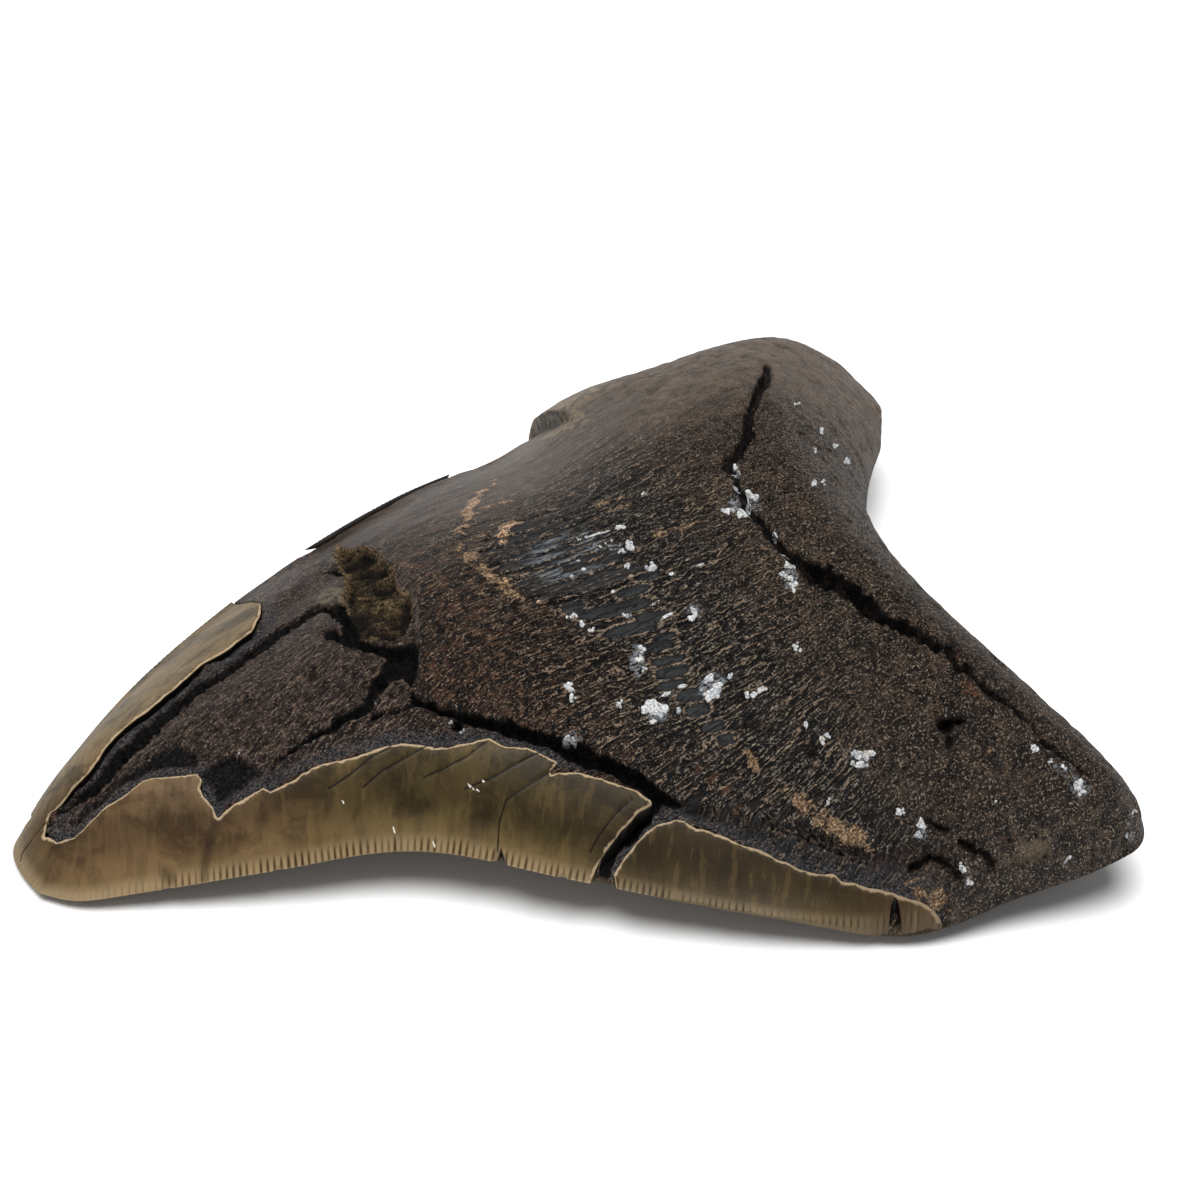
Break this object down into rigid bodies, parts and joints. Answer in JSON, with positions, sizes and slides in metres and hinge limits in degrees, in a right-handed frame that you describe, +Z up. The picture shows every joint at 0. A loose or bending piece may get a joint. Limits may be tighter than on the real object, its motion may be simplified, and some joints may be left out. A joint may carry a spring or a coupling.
{
  "type": "fossil megalodon tooth",
  "caption": "Broken fossil shark tooth lying on its flatter face: serrated blade, cracked two-lobed root, part of its enamel lost.",
  "frame": {"origin": "on the surface it lies on, under the middle of its bounding box", "axes": "+X from the tip towards the root, +Y across towards the lobe with the wider shoulder, +Z up, out of the convex lingual face"},
  "size_m": [0.1316, 0.1096, 0.0294],
  "materials": {
    "fossil_dentine": "matt, porous, dark brown to black",
    "fossil_enamel": "smooth, glossy, olive brown",
    "mineral_crust": "matt, chalky white"
  },
  "bodies": {
    "root": {"tooth": "fossil_dentine"}
  },
  "joints": []
}
